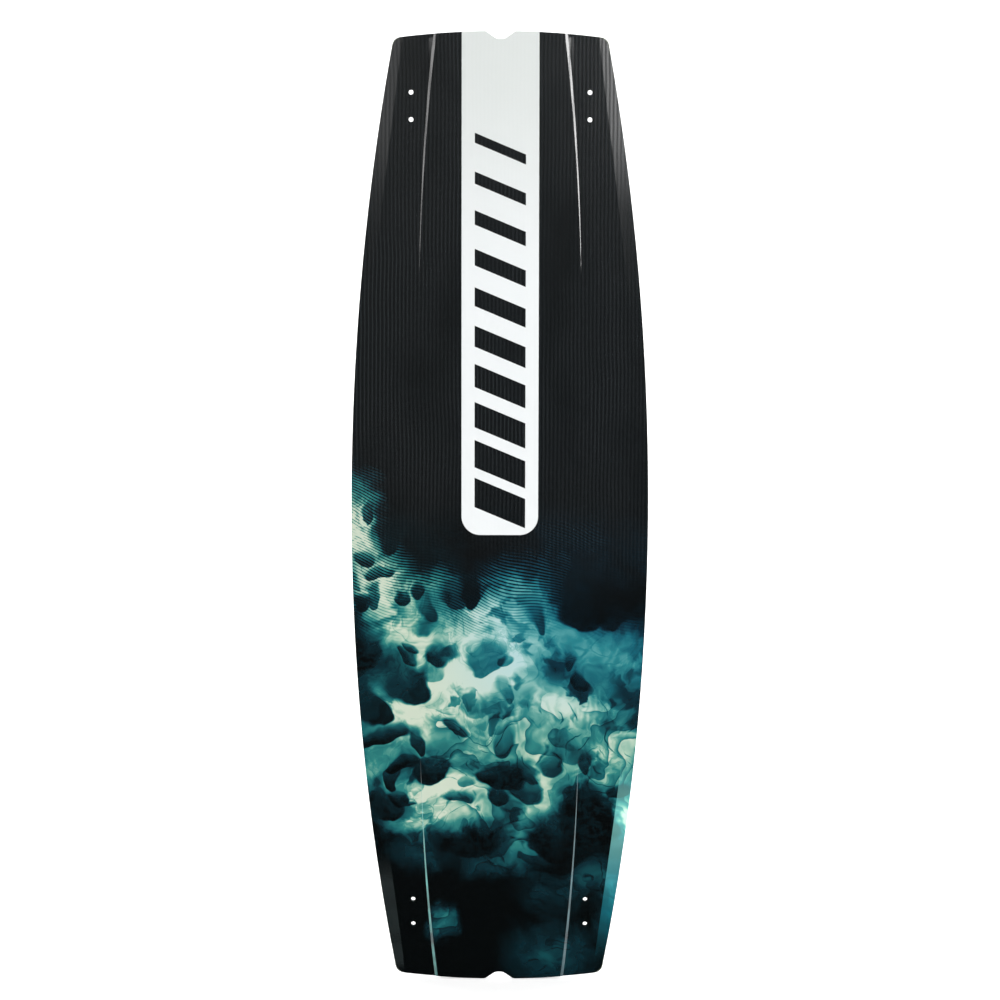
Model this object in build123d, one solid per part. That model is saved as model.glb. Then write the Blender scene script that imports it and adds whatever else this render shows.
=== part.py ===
from build123d import *
import os
from math import sqrt

# A twin-tip kiteboard without fins, pads, straps or handle: a pressed sandwich of a printed base sheet,
# fibre laminate, a wood core framed by plastic rails, fibre laminate again and a deck sheet.
# It stands on its tail. X runs across the board, Y from the running surface (-Y) to the deck (+Y),
# and Z along the board from the tail tip at z = 0 to the nose. Sizes are in millimetres.
# While it is built, y = 0 is the running surface at the board's middle, and z = 0 is the middle.

# outline
LENGTH = 1450.0
MID_WIDTH = 445.9
TIP_WIDTH = 317.6          # between the corners of one tip, before they are rounded
END_CROWN = 10.3           # how far a tip's edge bows out past its corners
CORNER_RADIUS = 14.0
NOTCH_MOUTH = 44.6
NOTCH_FLOOR = 11.6
NOTCH_DEPTH = 11.6
NOTCH_RADIUS = 5.0

# side view
ROCKER = 38.0              # height of the tips above the middle of the running surface
MID_THICKNESS = 10.5
TIP_THICKNESS = 7.8

# layers, measured along Y
SHEET = 0.5
LAMINATE = 0.5
SKIN = SHEET + LAMINATE

# channels: beside each tip the running surface steps back to a shelf that carries the fins
SHELF_DEPTH = 2.8          # at the tip
SHELF_LENGTH = 375.0       # from the tip to where the shelf fades out
CREASE_INSET_TIP = 62.0    # from the side edge to the crease, at the tip
CREASE_INSET_FADE = 87.0   # and where it fades out
FACET_WIDTH = 4.5          # of the slope that joins the raised centre to the shelf, at the tip

# bevels along the side edges
CHINE_WIDTH_MID = 15.0
CHINE_WIDTH_QUARTER = 20.0
CHINE_WIDTH_TIP = 12.0
CHINE_DROP_MID = 1.5
CHINE_DROP_TIP = 0.6
DECK_BEVEL_WIDTH = 40.0
DECK_BEVEL_DROP_MID = 3.5
DECK_BEVEL_DROP_TIP = 0.9

# rails and core
RAIL_WIDTH = 12.0
TIP_RAIL_DEPTH = 30.0
CORE_STRIPS = 10
STAVE_JOINT = 200.0        # from the middle to a strip's butt joints, which part it in three lengths
STAVE_STAGGER = 30.0       # every second strip has its joints this much nearer the middle
GLUE_GAP = 0.1             # round each block and insert in its pocket

# fins
FIN_FROM_TIP = 110.0       # to the middle of a fin's two screws
FIN_PITCH = 40.0
FIN_INSET = 42.9           # from the side edge to the screws
FIN_HOLE_RADIUS = 3.5
FIN_BLOCK_LENGTH = 70.0
FIN_BLOCK_WIDTH = 34.0

# pads and handle
PAD_FROM_MIDDLE = 270.0    # centre of each foot's inserts
PAD_COLUMN_SPACING = 165.0
PAD_INSERT_PITCH = 25.0
PAD_INSERTS_PER_COLUMN = 4
PAD_BLOCK_WIDTH = 28.0
HANDLE_SPACING = 200.0
HANDLE_BLOCK_WIDTH = 30.0
BLOCK_END = 18.0           # block beyond its last insert
BLOCK_RADIUS = 6.0         # left by the router in each pocket's corners

# M6 threaded insert
INSERT_RADIUS = 5.5
INSERT_LENGTH = 7.0
INSERT_SET_BACK = 0.3      # its mouth lies this far under the deck
INSERT_GROOVE_DEPTH = 0.8
INSERT_GROOVE_WIDTH = 1.5
THREAD_RADIUS = 2.5
THREAD_DEPTH = 6.0

HALF_LENGTH = LENGTH / 2
TIP_CORNER = HALF_LENGTH - END_CROWN
SHELF_START = HALF_LENGTH - SHELF_LENGTH
CORE_CORNER = TIP_CORNER - TIP_RAIL_DEPTH

# The slabs that the board is cut from reach this far past it, and the cutters reach twice as far.
PAST_TIP = 15.0
PAST_EDGE = 10.0
FAR = 90.0
SLAB_END = HALF_LENGTH + PAST_TIP
SLAB_SIDE = MID_WIDTH / 2 + PAST_EDGE
CUTTER_END = HALF_LENGTH + 2 * PAST_TIP
CUTTER_SIDE = MID_WIDTH / 2 + 2 * PAST_EDGE

os.makedirs("parts", exist_ok=True)


def arc_radius(half_chord, height):
    return (half_chord ** 2 + height ** 2) / (2 * height)


def arc_height(z, half_chord, height):
    """How far a circular arc has risen at z, when it rises by height at half_chord."""
    radius = arc_radius(half_chord, height)
    return radius - sqrt(radius ** 2 - z ** 2)


def half_width(z):
    return MID_WIDTH / 2 - arc_height(z, TIP_CORNER, (MID_WIDTH - TIP_WIDTH) / 2)


def base_height(z):
    return arc_height(z, HALF_LENGTH, ROCKER)


def deck_height(z):
    return MID_THICKNESS + arc_height(z, HALF_LENGTH, ROCKER + TIP_THICKNESS - MID_THICKNESS)


def shelf_depth(z):
    return SHELF_DEPTH * (abs(z) - SHELF_START) / SHELF_LENGTH


def blend(z, at_middle, at_tip):
    return at_middle + (at_tip - at_middle) * (abs(z) / HALF_LENGTH) ** 2


def stations(z_from, z_to, count):
    return [z_from + (z_to - z_from) * i / (count - 1) for i in range(count)]


def outline_face(mid_half, corner_x, corner_z, crown):
    """The board seen from its base: two side arcs and two tip arcs."""
    sides = [
        ThreePointArc((corner_x, -corner_z), (mid_half, 0), (corner_x, corner_z)),
        ThreePointArc((corner_x, corner_z), (0, corner_z + crown), (-corner_x, corner_z)),
        ThreePointArc((-corner_x, corner_z), (-mid_half, 0), (-corner_x, -corner_z)),
        ThreePointArc((-corner_x, -corner_z), (0, -corner_z - crown), (corner_x, -corner_z)),
    ]
    return make_face(sides)


def stand_up(flat):
    """Turns a flat drawing, x across and y along, into a prism through the board's whole thickness."""
    prism = extrude(flat, amount=FAR, both=True)
    return prism.rotate(Axis.X, 90)


def notch_face():
    top = SLAB_END
    slope = (NOTCH_MOUTH - NOTCH_FLOOR) / 2 / NOTCH_DEPTH
    mouth = NOTCH_FLOOR / 2 + slope * (NOTCH_DEPTH + PAST_TIP)
    floor = HALF_LENGTH - NOTCH_DEPTH
    corners = [(-NOTCH_FLOOR / 2, floor), (NOTCH_FLOOR / 2, floor), (mouth, top), (-mouth, top)]
    return make_face(Polyline(*corners, close=True))


def board_outline():
    """The outline with its rounded corners and a notch in the middle of each tip."""
    face = outline_face(MID_WIDTH / 2, TIP_WIDTH / 2, TIP_CORNER, END_CROWN)
    notch = notch_face()
    face = face - notch - notch.rotate(Axis.Z, 180)
    corners = [v for v in face.vertices() if abs(v.X) > TIP_WIDTH / 4]
    face = fillet(corners, CORNER_RADIUS)
    notch_corners = [v for v in face.vertices() if abs(v.X) < NOTCH_MOUTH]
    return fillet(notch_corners, NOTCH_RADIUS)


def side_profile(height_at, far):
    """A slab across the whole board, between the curve height_at(z) and the flat far side."""
    end = SLAB_END
    curve = ThreePointArc((height_at(-end), -end), (height_at(0), 0), (height_at(end), end))
    rest = Polyline((height_at(end), end), (far, end), (far, -end), (height_at(-end), -end))
    return lay_across(make_face([curve, rest]), SLAB_SIDE)


def lay_across(face, side):
    """Extrudes a drawing of y against z across the board, from x = -side to x = side."""
    turned = Plane(origin=(0, 0, 0), x_dir=(0, 1, 0), z_dir=(1, 0, 0)) * face
    return extrude(turned, amount=side, both=True)


def loft_along(section_at, zs):
    """Joins the four-cornered cross-sections at each z into one solid."""
    sections = []
    for z in zs:
        flat = make_face(Polyline(*section_at(z), close=True))
        sections.append(Pos(0, 0, z) * flat)
    return loft(sections)


def crease_section(z):
    """Everything outside the sloped facet: the facet crosses the running surface at the crease."""
    reach = SHELF_DEPTH * 2
    lean = FACET_WIDTH / SHELF_DEPTH * reach
    along = (HALF_LENGTH - abs(z)) / SHELF_LENGTH
    inset = CREASE_INSET_TIP + (CREASE_INSET_FADE - CREASE_INSET_TIP) * along
    crease = half_width(z) - inset
    y = base_height(z)
    near, far = y - reach, y + reach
    return [(crease - lean, near), (crease + lean, far), (CUTTER_SIDE, far), (CUTTER_SIDE, near)]


def shelf_cutter():
    """What the nose's channel takes away on the +X side, between the crease and the edge."""
    start = SHELF_START - PAST_TIP
    end = CUTTER_END
    middle = (start + end) / 2
    points = [(base_height(z) + shelf_depth(z), z) for z in (start, middle, end)]
    rest = Polyline(points[2], (-FAR, end), (-FAR, start), points[0])
    floor = lay_across(make_face([ThreePointArc(*points), rest]), CUTTER_SIDE)
    return floor & loft_along(crease_section, stations(start, end, 7))


def bevel_section(z, surface, width, drop, inward):
    """A wedge off the edge. It starts width inside the edge, and takes drop off at the edge: inward
    is 1 where the board's material lies on the +Y side of the surface, and -1 on its other side."""
    slope = inward * drop / width
    start = half_width(z) - width
    inner = start - PAST_EDGE
    inner_y = surface - slope * PAST_EDGE
    outer_y = surface + slope * (CUTTER_SIDE - start)
    open_y = surface - inward * FAR / 2
    return [(inner, inner_y), (CUTTER_SIDE, outer_y), (CUTTER_SIDE, open_y), (inner, open_y)]


def chine_section(z):
    surface = base_height(z) + max(0.0, shelf_depth(z))
    share = (abs(z) / HALF_LENGTH) ** 2
    bulge = 4 * share * (1 - share) * (CHINE_WIDTH_QUARTER - (CHINE_WIDTH_MID + CHINE_WIDTH_TIP) / 2)
    width = max(blend(z, CHINE_WIDTH_MID, CHINE_WIDTH_TIP) + bulge, CHINE_WIDTH_TIP / 2)
    drop = blend(z, CHINE_DROP_MID, CHINE_DROP_TIP)
    return bevel_section(z, surface, width, drop, 1)


def deck_bevel_section(z):
    drop = blend(z, DECK_BEVEL_DROP_MID, DECK_BEVEL_DROP_TIP)
    return bevel_section(z, deck_height(z), DECK_BEVEL_WIDTH, drop, -1)


def on_both_sides(solid):
    return [solid, mirror(solid, about=Plane.YZ)]


def base_half_space():
    """All that lies on the deck side of the running surface, with its channels and side bevels."""
    solid = side_profile(base_height, FAR)
    shelf = shelf_cutter()
    for cutter in on_both_sides(shelf) + on_both_sides(mirror(shelf, about=Plane.XY)):
        solid = solid - cutter
    for cutter in on_both_sides(loft_along(chine_section, stations(-CUTTER_END, CUTTER_END, 17))):
        solid = solid - cutter
    return solid


def deck_half_space():
    """All that lies on the base side of the deck, with the deck's side bevels."""
    solid = side_profile(deck_height, -FAR)
    for cutter in on_both_sides(loft_along(deck_bevel_section, stations(-CUTTER_END, CUTTER_END, 17))):
        solid = solid - cutter
    return solid


def moved_in(solid, distance):
    return Pos(0, distance, 0) * solid


def post(x, z, radius, y_from, y_to):
    """A cylinder along Y."""
    return Pos(x, (y_from + y_to) / 2, z) * Rot(90, 0, 0) * Cylinder(radius, y_to - y_from)


def fin_centres():
    z = HALF_LENGTH - FIN_FROM_TIP
    x = half_width(z) - FIN_INSET
    return {"nose_left": (-x, z), "nose_right": (x, z), "tail_left": (-x, -z), "tail_right": (x, -z)}


def fin_drills():
    drills = []
    for x, z in fin_centres().values():
        for side in (-1, 1):
            drills.append(post(x, z + side * FIN_PITCH / 2, FIN_HOLE_RADIUS, -FAR, FAR))
    return drills


def pad_columns():
    """Where the middle of each column of pad inserts is, by foot and side."""
    x = PAD_COLUMN_SPACING / 2
    z = PAD_FROM_MIDDLE
    return {"front_left": (-x, z), "front_right": (x, z), "rear_left": (-x, -z), "rear_right": (x, -z)}


def column_points(x, z):
    first = z - PAD_INSERT_PITCH * (PAD_INSERTS_PER_COLUMN - 1) / 2
    return [(x, first + PAD_INSERT_PITCH * i) for i in range(PAD_INSERTS_PER_COLUMN)]


def handle_points():
    return [(0, -HANDLE_SPACING / 2), (0, HANDLE_SPACING / 2)]


def insert_mouth(z):
    """The mouth lies under the lower end of the deck across the insert."""
    return deck_height(max(0.0, abs(z) - INSERT_RADIUS)) - INSERT_SET_BACK


def threaded_insert(x, z):
    """A round metal insert with a groove that keys it into the resin, and a blind thread from the deck."""
    mouth = insert_mouth(z)
    body = post(x, z, INSERT_RADIUS, mouth - INSERT_LENGTH, mouth)
    thread = post(x, z, THREAD_RADIUS, mouth - THREAD_DEPTH, mouth + FAR)
    groove_at = mouth - INSERT_LENGTH / 2
    low, high = groove_at - INSERT_GROOVE_WIDTH / 2, groove_at + INSERT_GROOVE_WIDTH / 2
    ring = post(x, z, INSERT_RADIUS + 1, low, high) - post(x, z, INSERT_RADIUS - INSERT_GROOVE_DEPTH, low, high)
    return body - ring - thread


def insert_pocket(x, z):
    bottom = insert_mouth(z) - INSERT_LENGTH - GLUE_GAP
    return post(x, z, INSERT_RADIUS + GLUE_GAP, bottom, FAR)


def block_prism(x, z, width, length, gap):
    flat = RectangleRounded(width + 2 * gap, length + 2 * gap, BLOCK_RADIUS + gap)
    return stand_up(Pos(x, z) * flat)


def block_places():
    """Name, centre, width and length of each block let into the core."""
    places = []
    for name, (x, z) in fin_centres().items():
        places.append(("fin_block_" + name, x, z, FIN_BLOCK_WIDTH, FIN_BLOCK_LENGTH))
    column = PAD_INSERT_PITCH * (PAD_INSERTS_PER_COLUMN - 1) + 2 * BLOCK_END
    for name, (x, z) in pad_columns().items():
        places.append(("insert_block_" + name, x, z, PAD_BLOCK_WIDTH, column))
    places.append(("insert_block_handle", 0, 0, HANDLE_BLOCK_WIDTH, HANDLE_SPACING + 2 * BLOCK_END))
    return places


def drilled(solid, cutters):
    for cutter in cutters:
        solid = solid - cutter
    return solid


def between(z_low, z_high):
    """A box across the whole board between two heights along it."""
    size = z_high - z_low
    return Pos(0, 0, (z_low + z_high) / 2) * Box(2 * SLAB_SIDE, 2 * FAR, size)


def build():
    nodes = {}
    outline = stand_up(board_outline())
    base_side = base_half_space()
    deck_side = deck_half_space()
    fins = fin_drills()
    insert_points = handle_points()
    for x, z in pad_columns().values():
        insert_points = insert_points + column_points(x, z)
    pockets = [insert_pocket(x, z) for x, z in insert_points]

    # the two sheets and two laminates, each the board's outline between two surfaces
    nodes["base_sheet"] = drilled((outline & base_side) - moved_in(base_side, SHEET), fins)
    below = moved_in(base_side, SHEET)
    nodes["lower_laminate"] = drilled((outline & below) - moved_in(base_side, SKIN), fins + pockets)
    above = moved_in(deck_side, -SHEET)
    nodes["upper_laminate"] = drilled((outline & above) - moved_in(deck_side, -SKIN), fins + pockets)
    nodes["top_sheet"] = drilled((outline & deck_side) - above, fins + pockets)

    # the layer between the laminates: rails outside, core inside
    middle_layer = outline & moved_in(base_side, SKIN) & moved_in(deck_side, -SKIN)
    core_half = MID_WIDTH / 2 - RAIL_WIDTH
    core_tip = half_width(CORE_CORNER) - RAIL_WIDTH
    core_outline = stand_up(outline_face(core_half, core_tip, CORE_CORNER, END_CROWN))
    frame = middle_layer - core_outline
    nodes["nose_tip_rail"] = frame & between(CORE_CORNER, SLAB_END)
    nodes["tail_tip_rail"] = frame & between(-SLAB_END, -CORE_CORNER)
    side_rails = frame & between(-CORE_CORNER, CORE_CORNER)
    left, right = sorted(side_rails.solids(), key=lambda s: s.center().X)
    nodes["rail_left"] = left
    nodes["rail_right"] = right

    core = middle_layer & core_outline
    places = block_places()
    for name, x, z, width, length in places:
        block = core & block_prism(x, z, width, length, 0.0)
        near = fins if name.startswith("fin") else pockets
        nodes[name] = drilled(block, near)
    for name, x, z, width, length in places:
        core = core - block_prism(x, z, width, length, GLUE_GAP)
    strip = 2 * core_half / CORE_STRIPS
    for i in range(CORE_STRIPS):
        centre = -core_half + strip * (i + 0.5)
        joint = STAVE_JOINT - STAVE_STAGGER * (i % 2)
        whole_strip = core & (Pos(centre, 0, 0) * Box(strip, 2 * FAR, LENGTH))
        ends = [(-SLAB_END, -joint), (-joint, joint), (joint, SLAB_END)]
        nodes[f"core_strip_{i + 1}"] = [whole_strip & between(low, high) for low, high in ends]

    for foot in ("front", "rear"):
        points = []
        for name, (x, z) in pad_columns().items():
            if name.startswith(foot):
                points = points + column_points(x, z)
        nodes[f"pad_inserts_{foot}"] = [threaded_insert(x, z) for x, z in points]
    nodes["handle_inserts"] = [threaded_insert(x, z) for x, z in handle_points()]
    return nodes


def as_solids(shape):
    if isinstance(shape, list):
        return [solid for item in shape for solid in item.solids()]
    return shape.solids()


def place(nodes):
    """Stands the board on its tail, centred on Y, and writes each node."""
    whole = Compound(children=[Compound(as_solids(shape)) for shape in nodes.values()]).bounding_box()
    shift = Pos(0, -(whole.min.Y + whole.max.Y) / 2, -whole.min.Z)
    for name, shape in nodes.items():
        solids = [shift * solid for solid in as_solids(shape)]
        export_step(Compound(solids) if len(solids) > 1 else solids[0], f"parts/{name}.step")
    print("shift", shift.position, "size", whole.size)


place(build())
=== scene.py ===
from math import cos, pi, radians, sin, sqrt

import bmesh
import bpy
from mathutils import Matrix, Vector


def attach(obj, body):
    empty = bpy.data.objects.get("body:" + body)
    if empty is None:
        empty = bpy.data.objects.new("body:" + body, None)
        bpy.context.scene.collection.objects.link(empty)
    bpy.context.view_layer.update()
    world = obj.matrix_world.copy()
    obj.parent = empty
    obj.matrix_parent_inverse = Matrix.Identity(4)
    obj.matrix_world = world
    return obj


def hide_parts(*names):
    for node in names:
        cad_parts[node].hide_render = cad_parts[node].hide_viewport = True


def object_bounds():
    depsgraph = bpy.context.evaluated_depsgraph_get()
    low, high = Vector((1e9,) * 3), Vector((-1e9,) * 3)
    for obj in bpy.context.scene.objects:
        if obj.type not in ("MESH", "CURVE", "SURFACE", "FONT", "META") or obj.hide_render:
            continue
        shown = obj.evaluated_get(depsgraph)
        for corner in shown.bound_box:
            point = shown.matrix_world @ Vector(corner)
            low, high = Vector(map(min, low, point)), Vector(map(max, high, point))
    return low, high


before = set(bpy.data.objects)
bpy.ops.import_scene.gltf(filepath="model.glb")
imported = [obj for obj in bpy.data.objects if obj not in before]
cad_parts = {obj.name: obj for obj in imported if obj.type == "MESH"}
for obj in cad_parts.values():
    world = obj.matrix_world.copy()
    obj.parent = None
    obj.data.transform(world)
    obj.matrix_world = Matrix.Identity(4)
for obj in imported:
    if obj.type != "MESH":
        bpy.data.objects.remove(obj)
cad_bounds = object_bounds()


# ---------------------------------------------------------------- camera
# The board is seen from in front of its running surface and a little above its middle,
# from about nine of its own widths away, so its sides run almost parallel.
board_low, board_high = cad_bounds
middle_height = (board_low[2] + board_high[2]) / 2
base_at_middle = Vector((0.0, board_low[1], middle_height))

LOOKING_DOWN = radians(7.91)
CAMERA_DISTANCE = 3.987
camera_data = bpy.data.cameras.new("camera")
camera_data.sensor_width = 36.0
camera_data.lens = 95.54
camera_data.shift_x = 0.0002
camera_data.shift_y = 0.0199
camera_data.clip_end = 60.0
camera = bpy.data.objects.new("camera", camera_data)
camera.location = base_at_middle + CAMERA_DISTANCE * Vector((0, -cos(LOOKING_DOWN), sin(LOOKING_DOWN)))
camera.rotation_euler = (Matrix.Rotation(pi / 2 - LOOKING_DOWN, 3, "X")
                         @ Matrix.Rotation(radians(0.1), 3, "Z")).to_euler()
bpy.context.scene.collection.objects.link(camera)
bpy.context.scene.camera = camera


# ---------------------------------------------------------------- studio
# A plain white sweep: the floor runs back and curves up into a wall, so there is no horizon.
def link(name, mesh):
    made = bpy.data.objects.new(name, mesh)
    bpy.context.scene.collection.objects.link(made)
    return made


def sweep_floor():
    floor = bmesh.new()
    half_width, front, back, rise, height = 14.0, -4.6, 5.0, 2.5, 9.0
    profile = [Vector((0, front, 0)), Vector((0, back, 0))]
    for step in range(1, 17):
        turn = radians(90 * step / 16)
        profile.append(Vector((0, back + rise * sin(turn), rise * (1 - cos(turn)))))
    profile.append(Vector((0, back + rise, height)))
    ends = [floor.verts.new(point - Vector((half_width, 0, 0))) for point in profile]
    edges = [floor.edges.new(pair) for pair in zip(ends, ends[1:])]
    grown = bmesh.ops.extrude_edge_only(floor, edges=edges)["geom"]
    moved = [part for part in grown if isinstance(part, bmesh.types.BMVert)]
    bmesh.ops.translate(floor, verts=moved, vec=(2 * half_width, 0, 0))
    for face in floor.faces:
        face.smooth = True
    mesh = bpy.data.meshes.new("studio_floor")
    floor.to_mesh(mesh)
    floor.free()
    return link("studio_floor", mesh)


studio_floor = sweep_floor()
paper = bpy.data.materials.new("studio_paper")
paper.use_nodes = True
paper_surface = paper.node_tree.nodes["Principled BSDF"]
paper_surface.inputs["Base Color"].default_value = (0.93, 0.93, 0.93, 1)
paper_surface.inputs["Roughness"].default_value = 0.9
paper_surface.inputs["Specular IOR Level"].default_value = 0.1
paper_surface.inputs["Emission Color"].default_value = (1, 1, 1, 1)
paper_surface.inputs["Emission Strength"].default_value = 0.44
studio_floor.data.materials.append(paper)


def wire(tree, kind, inputs, **settings):
    """Adds a shader node. inputs gives each socket, by name or number, a value or another node's output."""
    made = tree.nodes.new("ShaderNode" + kind)
    for setting, value in settings.items():
        setattr(made, setting, value)
    for socket, value in inputs.items():
        if isinstance(value, bpy.types.NodeSocket):
            tree.links.new(value, made.inputs[socket])
        else:
            made.inputs[socket].default_value = value
    return made


def calc(tree, operation, first, second=0.0, third=0.0):
    return wire(tree, "Math", {0: first, 1: second, 2: third}, operation=operation).outputs[0]


def between(tree, value, low, high):
    """0 below low and 1 above high, with a smooth step from one to the other."""
    ramp = wire(tree, "MapRange", {"Value": value, "From Min": low, "From Max": high},
                interpolation_type="SMOOTHSTEP")
    return ramp.outputs["Result"]


def soft_box(name, place, aim, width, height, brightness):
    """A rectangular studio lamp that looks at a point; brightness is what a mirror would show of it."""
    lamp = bpy.data.lights.new(name, "AREA")
    lamp.shape = "RECTANGLE"
    lamp.size = width
    lamp.size_y = height
    lamp.energy = brightness * width * height * pi
    made = bpy.data.objects.new(name, lamp)
    made.location = place
    made.rotation_euler = (Vector(aim) - Vector(place)).to_track_quat("-Z", "Y").to_euler()
    made.visible_camera = False
    bpy.context.scene.collection.objects.link(made)
    return made


side_view = Vector((0, 0, 0.9))
soft_box("side_right", (3.6, -1.75, 2.1), side_view, 0.55, 2.6, 25)
soft_box("side_left", (-3.6, -1.75, 1.7), side_view, 0.55, 2.6, 7.5)
soft_box("front_right", (1.15, -4.2, 3.0), side_view, 0.9, 2.0, 7.0)
soft_box("front_left", (-1.15, -4.2, 3.0), side_view, 0.9, 2.0, 2.2)
soft_box("wall_wash", (0, 1.2, 5.6), (0, 6.5, 0.8), 8.0, 2.0, 9)
studio_floor.visible_glossy = False

world = bpy.data.worlds.new("studio_world")
world.use_nodes = True
tree = world.node_tree
tree.nodes["Background"].inputs["Color"].default_value = (1, 1, 1, 1)
towards = tree.nodes.new("ShaderNodeTexCoord").outputs["Generated"]
split = wire(tree, "SeparateXYZ", {0: towards})
sides = between(tree, calc(tree, "ABSOLUTE", split.outputs["X"]), 0.66, 0.90)
upward = between(tree, split.outputs["Z"], -0.50, 0.40)
overhead = between(tree, split.outputs["Z"], 0.45, 0.90)
low = between(tree, split.outputs["Z"], 0.08, -0.08)
seen = tree.nodes.new("ShaderNodeLightPath").outputs["Is Camera Ray"]
sides = calc(tree, "MULTIPLY", sides, calc(tree, "MULTIPLY_ADD", low, 4.2, 0.1))
light = calc(tree, "ADD", sides, 0.02)
light = calc(tree, "MULTIPLY_ADD", upward, 0.12, light)
light = calc(tree, "MULTIPLY_ADD", overhead, 0.2, light)
light = calc(tree, "MAXIMUM", light, calc(tree, "MULTIPLY", seen, 1.2))
tree.links.new(light, tree.nodes["Background"].inputs["Strength"])
bpy.context.scene.world = world
bpy.context.scene.view_settings.view_transform = "Standard"


# ---------------------------------------------------------------- core strips
# Ten lengthwise strips of paulownia, a very light pale wood, planed and glued side by side. Each is
# butt-jointed from three lengths. They are sealed inside the board.
def mixed(tree, share, first, second):
    """A colour that goes from first to second as share goes from 0 to 1."""
    mix = wire(tree, "Mix", {0: share, 6: first, 7: second}, data_type="RGBA")
    return mix.outputs[2]


def noise(tree, place, scale, detail=2.0, rough=0.5, twist=0.0):
    return wire(tree, "TexNoise", {"Vector": place, "Scale": scale, "Detail": detail, "Roughness": rough,
                                   "Distortion": twist})


def stretched(tree, place, x, y, z):
    """The place with each direction scaled, so that a pattern runs long or short that way."""
    return wire(tree, "Mapping", {"Vector": place, "Scale": (x, y, z)}).outputs[0]


def new_group(name, inputs, outputs):
    """A node group with its sockets: inputs maps a name to its kind and value, outputs a name to its kind."""
    group = bpy.data.node_groups.new(name, "ShaderNodeTree")
    for socket, (kind, value) in inputs.items():
        made = group.interface.new_socket(socket, in_out="INPUT", socket_type="NodeSocket" + kind)
        if value is not None:
            made.default_value = value
    for socket, kind in outputs.items():
        group.interface.new_socket(socket, in_out="OUTPUT", socket_type="NodeSocket" + kind)
    came_in = group.nodes.new("NodeGroupInput").outputs
    goes_out = group.nodes.new("NodeGroupOutput").inputs
    return group, came_in, goes_out


def use(tree, group, inputs):
    made = tree.nodes.new("ShaderNodeGroup")
    made.node_tree = group
    for socket, value in inputs.items():
        if isinstance(value, bpy.types.NodeSocket):
            tree.links.new(value, made.inputs[socket])
        else:
            made.inputs[socket].default_value = value
    return made.outputs


def new_material(name, **surface):
    """A material, its node tree, its surface shader and the object's own coordinates."""
    material = bpy.data.materials.new(name)
    material.use_nodes = True
    tree = material.node_tree
    shader = tree.nodes["Principled BSDF"]
    for socket, value in surface.items():
        shader.inputs[socket.replace("_", " ")].default_value = value
    place = tree.nodes.new("ShaderNodeTexCoord").outputs["Object"]
    return material, tree, shader, place


def finish_surface(tree, shader, colour, roughness, height, depth):
    """Plugs a colour, a roughness and a bump height into the shader; depth is the bump's height in metres."""
    bump = wire(tree, "Bump", {"Height": height, "Distance": depth})
    tree.links.new(colour, shader.inputs["Base Color"])
    tree.links.new(roughness, shader.inputs["Roughness"])
    tree.links.new(bump.outputs[0], shader.inputs["Normal"])


def dress(nodes, material):
    """Gives CAD nodes a finished material."""
    for name in nodes:
        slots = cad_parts[name].data.materials
        slots.clear()
        slots.append(material)


grain_group, grain_in, grain_out = new_group(
    "wood_grain",
    {"Place": ("Vector", None), "Ring Scale": ("Float", 60.0), "Light": ("Color", (1, 1, 1, 1)),
     "Dark": ("Color", (0, 0, 0, 1))},
    {"Color": "Color", "Height": "Float"},
)
grain_tree = grain_group
long_place = stretched(grain_tree, grain_in["Place"], 1.0, 1.0, 0.04)
drift = noise(grain_tree, long_place, 14.0, 2.0).outputs["Fac"]
rings = noise(grain_tree, long_place, grain_in["Ring Scale"], 4.0, 0.6, 0.4).outputs["Fac"]
pores = noise(grain_tree, stretched(grain_tree, grain_in["Place"], 1.0, 1.0, 0.02), 900.0, 1.0).outputs["Fac"]
figure = calc(grain_tree, "MULTIPLY_ADD", drift, 0.45, calc(grain_tree, "MULTIPLY", rings, 0.55))
figure = between(grain_tree, figure, 0.34, 0.66)
pore_lines = between(grain_tree, pores, 0.62, 0.72)
shade = calc(grain_tree, "MULTIPLY_ADD", pore_lines, 0.35, calc(grain_tree, "MULTIPLY", figure, 0.8))
grain_tree.links.new(mixed(grain_tree, shade, grain_in["Light"], grain_in["Dark"]), grain_out["Color"])
grain_tree.links.new(calc(grain_tree, "SUBTRACT", 1.0, shade), grain_out["Height"])

paulownia, tree, shader, place = new_material("paulownia", Specular_IOR_Level=0.25)
grain = use(tree, grain_group, {"Place": place, "Ring Scale": 55.0, "Light": (0.62, 0.45, 0.27, 1),
                                "Dark": (0.42, 0.27, 0.14, 1)})
dust = noise(tree, place, 300.0, 2.0).outputs["Fac"]
dullness = calc(tree, "MULTIPLY_ADD", dust, 0.2, 0.5)
finish_surface(tree, shader, grain["Color"], dullness, grain["Height"], 0.0002)
dress([f"core_strip_{number}" for number in range(1, 11)], paulownia)


# ---------------------------------------------------------------- insert blocks and fin blocks
# Blocks let into routed pockets in the core: hard beech under the threaded inserts of the pads and
# the handle, and machined plastic plugs where the fin screws go through.
beech, tree, shader, place = new_material("beech", Specular_IOR_Level=0.25)
grain = use(tree, grain_group, {"Place": place, "Ring Scale": 140.0, "Light": (0.50, 0.29, 0.15, 1),
                                "Dark": (0.31, 0.15, 0.07, 1)})
fleck = noise(tree, stretched(tree, place, 1.0, 1.0, 0.2), 1400.0, 1.0).outputs["Fac"]
dullness = calc(tree, "MULTIPLY_ADD", fleck, 0.25, 0.42)
finish_surface(tree, shader, grain["Color"], dullness, grain["Height"], 0.0002)
insert_blocks = ["insert_block_" + where for where in
                 ("front_left", "front_right", "rear_left", "rear_right", "handle")]
dress(insert_blocks, beech)

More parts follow.
